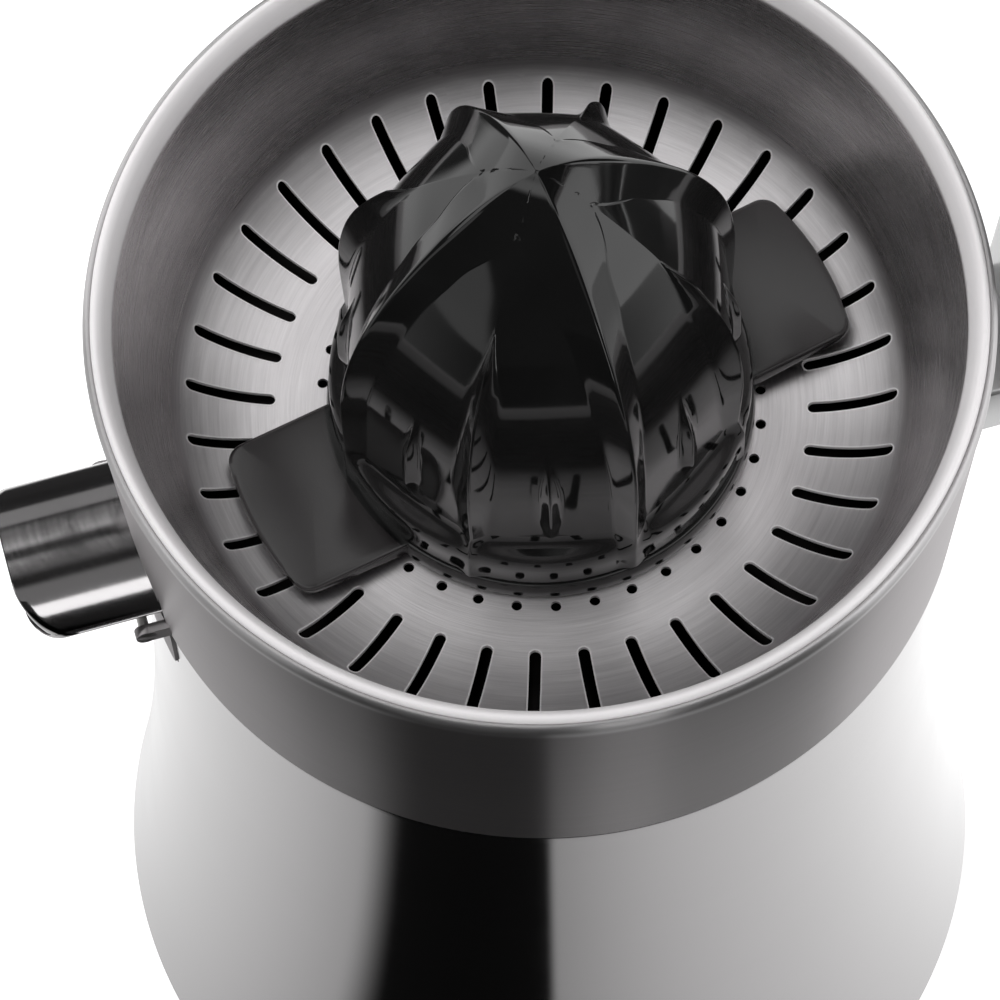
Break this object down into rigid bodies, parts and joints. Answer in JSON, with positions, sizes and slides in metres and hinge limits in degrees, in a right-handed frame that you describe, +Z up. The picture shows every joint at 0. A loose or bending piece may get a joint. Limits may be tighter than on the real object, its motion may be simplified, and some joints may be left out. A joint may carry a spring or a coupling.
{
  "type": "lever citrus juice press",
  "caption": "Electric lever juice press: flared steel motor column, steel bowl with slotted strainer, ridged black reamer, pouring spout and a press dome on a lever arm.",
  "frame": {"origin": "centre of the base plate's underside, on the column's axis", "axes": "+Z up along the column, the reamer and the drive shaft; the spout points along -Y and the lever's hinge is at +Y; +X is to the right seen from the spout"},
  "size_m": [0.216, 0.3152, 0.6079],
  "materials": {
    "polished_steel": "polished stainless steel",
    "brushed_steel": "fine satin stainless steel",
    "dark_steel": "plain ground steel",
    "cast_aluminium": "satin cast aluminium",
    "gloss_black": "high gloss black plastic",
    "satin_black": "satin black plastic",
    "matte_plastic": "plain moulded plastic",
    "rubber": "matt rubber",
    "brass": "plain turned brass",
    "copper": "lacquered copper winding on laminations"
  },
  "bodies": {
    "column": {"body_housing": "polished_steel", "base_plate": "matte_plastic", "foot_front_right": "rubber", "foot_back_right": "rubber", "foot_back_left": "rubber", "foot_front_left": "rubber", "cord_inlet": "rubber", "motor_deck": "matte_plastic", "shaft_bush": "brass", "shaft_seal": "rubber", "juice_bowl": "brushed_steel", "bowl_liner": "brushed_steel", "strainer_plate": "brushed_steel", "spout_pin": "dark_steel", "cluster_axle": "dark_steel", "shaft_spring": "dark_steel", "press_switch": "matte_plastic", "gear_plate": "cast_aluminium", "post_back_right": "cast_aluminium", "post_back_left": "cast_aluminium", "post_front_left": "cast_aluminium", "post_front_right": "cast_aluminium", "motor_can": "dark_steel", "motor_stator": "copper", "motor_bearing_top": "brass", "motor_bearing_bottom": "brass", "hinge_bracket": "cast_aluminium", "hinge_pin": "polished_steel", "hinge_pin_cap": "polished_steel"},
    "spout": {"spout": "polished_steel"},
    "output_gear": {"output_wheel": "matte_plastic"},
    "shaft": {"drive_shaft": "dark_steel", "thrust_collar": "brass", "reamer_cone": "gloss_black", "reamer_base": "satin_black"},
    "cluster_gear": {"cluster_wheel": "matte_plastic"},
    "motor": {"motor_rotor": "dark_steel", "motor_pinion": "brass", "motor_fan": "matte_plastic"},
    "lever": {"lever_arm": "cast_aluminium", "handle_grip": "satin_black", "dome_pin": "dark_steel"},
    "dome": {"press_dome": "brushed_steel", "dome_lining": "gloss_black"}
  },
  "joints": [
    {"name": "drive_spin", "type": "hinge", "parent": "column", "child": "output_gear", "pos_m": [0, 0, 0.2], "axis": [0, 0, 1], "continuous": true},
    {"name": "cluster_spin", "type": "hinge", "parent": "column", "child": "cluster_gear", "pos_m": [0.036, 0, 0.19], "axis": [0, 0, 1], "continuous": true},
    {"name": "motor_spin", "type": "hinge", "parent": "column", "child": "motor", "pos_m": [0, 0, 0.15], "axis": [0, 0, 1], "continuous": true},
    {"name": "reamer_press", "type": "slide", "parent": "output_gear", "child": "shaft", "axis": [0, 0, 1], "range_m": [-0.0015, 0], "stiffness_N_per_m": 2500, "springref_m": 0.0025, "deforming": ["shaft_spring"]},
    {"name": "spout_tilt", "type": "hinge", "parent": "column", "child": "spout", "pos_m": [0, -0.0909, 0.2232], "axis": [1, 0, 0], "range_deg": [-13, 0]},
    {"name": "lever_swing", "type": "hinge", "parent": "column", "child": "lever", "pos_m": [0, 0.118, 0.342], "axis": [1, 0, 0], "range_deg": [0, 100]},
    {"name": "dome_tilt", "type": "hinge", "parent": "lever", "child": "dome", "pos_m": [0, 0.16114, 0.45421], "axis": [1, 0, 0], "range_deg": [-12, 0]}
  ],
  "couplings": [
    {"joint": "cluster_spin", "follows": "drive_spin", "ratio": -2.6},
    {"joint": "motor_spin", "follows": "drive_spin", "ratio": 6.76}
  ]
}
